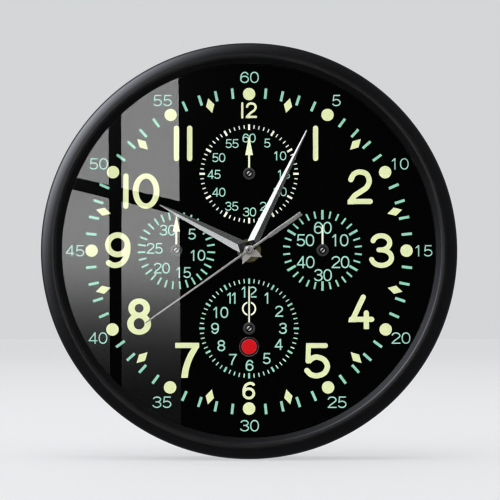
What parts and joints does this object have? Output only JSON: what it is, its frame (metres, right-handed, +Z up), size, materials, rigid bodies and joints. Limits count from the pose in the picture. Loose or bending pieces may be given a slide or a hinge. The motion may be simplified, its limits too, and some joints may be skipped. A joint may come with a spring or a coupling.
{
  "type": "aviation wall clock",
  "caption": "Round wall clock with a black convex case, flat glass, black instrument dial with small register dials, faceted hands, quartz movement and keyhole hanger.",
  "frame": {"origin": "the hand axis where it meets the wall plane, which is the plane of the case's back rim", "axes": "+Z up as hung, +Y along the hand axis into the wall, so the dial faces -Y and +X is to the right seen from the front"},
  "size_m": [0.3, 0.0435, 0.3],
  "materials": {
    "case_black": "satin moulded",
    "clear_glass": "polished",
    "black_foam": "matt foam",
    "dial_black": "matt black paint with printed cream and mint marks",
    "indicator_red": "gloss",
    "collar_grey": "satin",
    "pin_steel": "polished",
    "cover_black": "fine texture",
    "screw_steel": "zinc plated",
    "hanger_steel": "zinc plated",
    "movement_black": "satin",
    "black_rubber": "matt",
    "nut_brass": "darkened",
    "board_green": "solder mask",
    "can_metal": "bright",
    "chip_black": "epoxy",
    "nylon_white": "natural nylon",
    "copper_wire": "enamelled copper",
    "core_steel": "annealed",
    "contact_nickel": "nickel plated",
    "cell_jacket": "printed film, plain",
    "magnet_grey": "sintered",
    "wheel_brass": "milled",
    "knob_black": "knurled",
    "hand_aluminium": "polished facets",
    "second_aluminium": "satin",
    "hand_cream": "cream lacquer",
    "hub_grey": "dark satin"
  },
  "bodies": {
    "case": {"bezel_frame": "case_black", "glass_lens": "clear_glass", "lens_gasket": "black_foam", "spacer_ring": "case_black", "dial_plate": "dial_black", "indicator_disc": "indicator_red", "indicator_collar": "collar_grey", "register_pins": "pin_steel", "back_cover": "cover_black", "dial_clamp_ring": "cover_black", "back_cover_screws": "screw_steel", "hanger_plate": "hanger_steel", "hanger_screws": "screw_steel", "movement_front_case": "movement_black", "movement_rear_case": "movement_black", "rubber_washer": "black_rubber", "nut_washer": "nut_brass", "centre_nut": "nut_brass", "circuit_board": "board_green", "quartz_crystal": "can_metal", "timing_chip": "chip_black", "coil_bobbin": "nylon_white", "coil_winding": "copper_wire", "coil_core": "core_steel", "stator": "core_steel", "battery_positive_contact": "contact_nickel", "battery_negative_contact": "contact_nickel"},
    "cell": {"battery": "cell_jacket"},
    "rotor": {"rotor_magnet": "magnet_grey", "rotor_pinion": "nylon_white"},
    "fifth": {"fifth_wheel": "nylon_white"},
    "seconds": {"seconds_wheel": "nylon_white", "seconds_arbor": "pin_steel", "second_hand": "second_aluminium", "second_hand_boss": "second_aluminium"},
    "third": {"third_wheel": "nylon_white"},
    "centre": {"centre_wheel": "wheel_brass"},
    "minutes": {"cannon_pinion": "wheel_brass", "minute_hand": "hand_aluminium"},
    "motion": {"minute_wheel": "nylon_white", "setting_knob": "knob_black"},
    "hours": {"hour_wheel": "nylon_white", "hour_hand": "hand_aluminium"},
    "upper_register": {"upper_register_hand": "hand_cream", "upper_register_hub": "hub_grey"},
    "right_register": {"right_register_hand": "hand_cream", "right_register_hub": "hub_grey"},
    "left_register": {"left_register_hand": "hand_cream", "left_register_hub": "hub_grey"},
    "lower_ring": {"lower_register_ring_hand": "hand_cream"},
    "lower_needle": {"lower_register_needle": "hand_cream", "lower_register_hub": "hub_grey"}
  },
  "joints": [
    {"name": "second_turn", "type": "hinge", "parent": "case", "child": "seconds", "pos_m": [0, -0.03, 0], "axis": [0, 1, 0], "continuous": true},
    {"name": "fifth_turn", "type": "hinge", "parent": "case", "child": "fifth", "pos_m": [-0.00828, -0.0095, 0.00352], "axis": [0, 1, 0], "continuous": true},
    {"name": "rotor_turn", "type": "hinge", "parent": "case", "child": "rotor", "pos_m": [-0.01407, -0.0095, 0.01041], "axis": [0, 1, 0], "continuous": true},
    {"name": "third_turn", "type": "hinge", "parent": "case", "child": "third", "pos_m": [0.00816, -0.0095, 0.0038], "axis": [0, 1, 0], "continuous": true},
    {"name": "centre_turn", "type": "hinge", "parent": "case", "child": "centre", "pos_m": [0, -0.0113, 0], "axis": [0, 1, 0], "continuous": true},
    {"name": "minute_turn", "type": "hinge", "parent": "case", "child": "minutes", "pos_m": [0, -0.028, 0], "axis": [0, 1, 0], "continuous": true},
    {"name": "motion_turn", "type": "hinge", "parent": "case", "child": "motion", "pos_m": [0, -0.014, 0.0096], "axis": [0, 1, 0], "continuous": true},
    {"name": "hour_turn", "type": "hinge", "parent": "case", "child": "hours", "pos_m": [0, -0.025, 0], "axis": [0, 1, 0], "continuous": true},
    {"name": "upper_register_turn", "type": "hinge", "parent": "case", "child": "upper_register", "pos_m": [0, -0.0249, 0.056], "axis": [0, 1, 0], "continuous": true},
    {"name": "right_register_turn", "type": "hinge", "parent": "case", "child": "right_register", "pos_m": [0.0533, -0.0249, 0.00025], "axis": [0, 1, 0], "continuous": true},
    {"name": "left_register_turn", "type": "hinge", "parent": "case", "child": "left_register", "pos_m": [-0.0528, -0.0249, 0.00015], "axis": [0, 1, 0], "continuous": true},
    {"name": "lower_ring_turn", "type": "hinge", "parent": "case", "child": "lower_ring", "pos_m": [0, -0.0244, -0.0564], "axis": [0, 1, 0], "continuous": true},
    {"name": "lower_needle_turn", "type": "hinge", "parent": "case", "child": "lower_needle", "pos_m": [0, -0.0252, -0.0564], "axis": [0, 1, 0], "continuous": true},
    {"name": "battery_slide", "type": "slide", "parent": "case", "child": "cell", "axis": [0, 1, 0], "range_m": [0, 0.024]}
  ],
  "couplings": [
    {"joint": "fifth_turn", "follows": "second_turn", "ratio": -6},
    {"joint": "rotor_turn", "follows": "second_turn", "ratio": 30},
    {"joint": "third_turn", "follows": "second_turn", "ratio": -0.13333},
    {"joint": "centre_turn", "follows": "second_turn", "ratio": 0.016667},
    {"joint": "motion_turn", "follows": "minute_turn", "ratio": -0.33333},
    {"joint": "hour_turn", "follows": "minute_turn", "ratio": 0.083333}
  ]
}
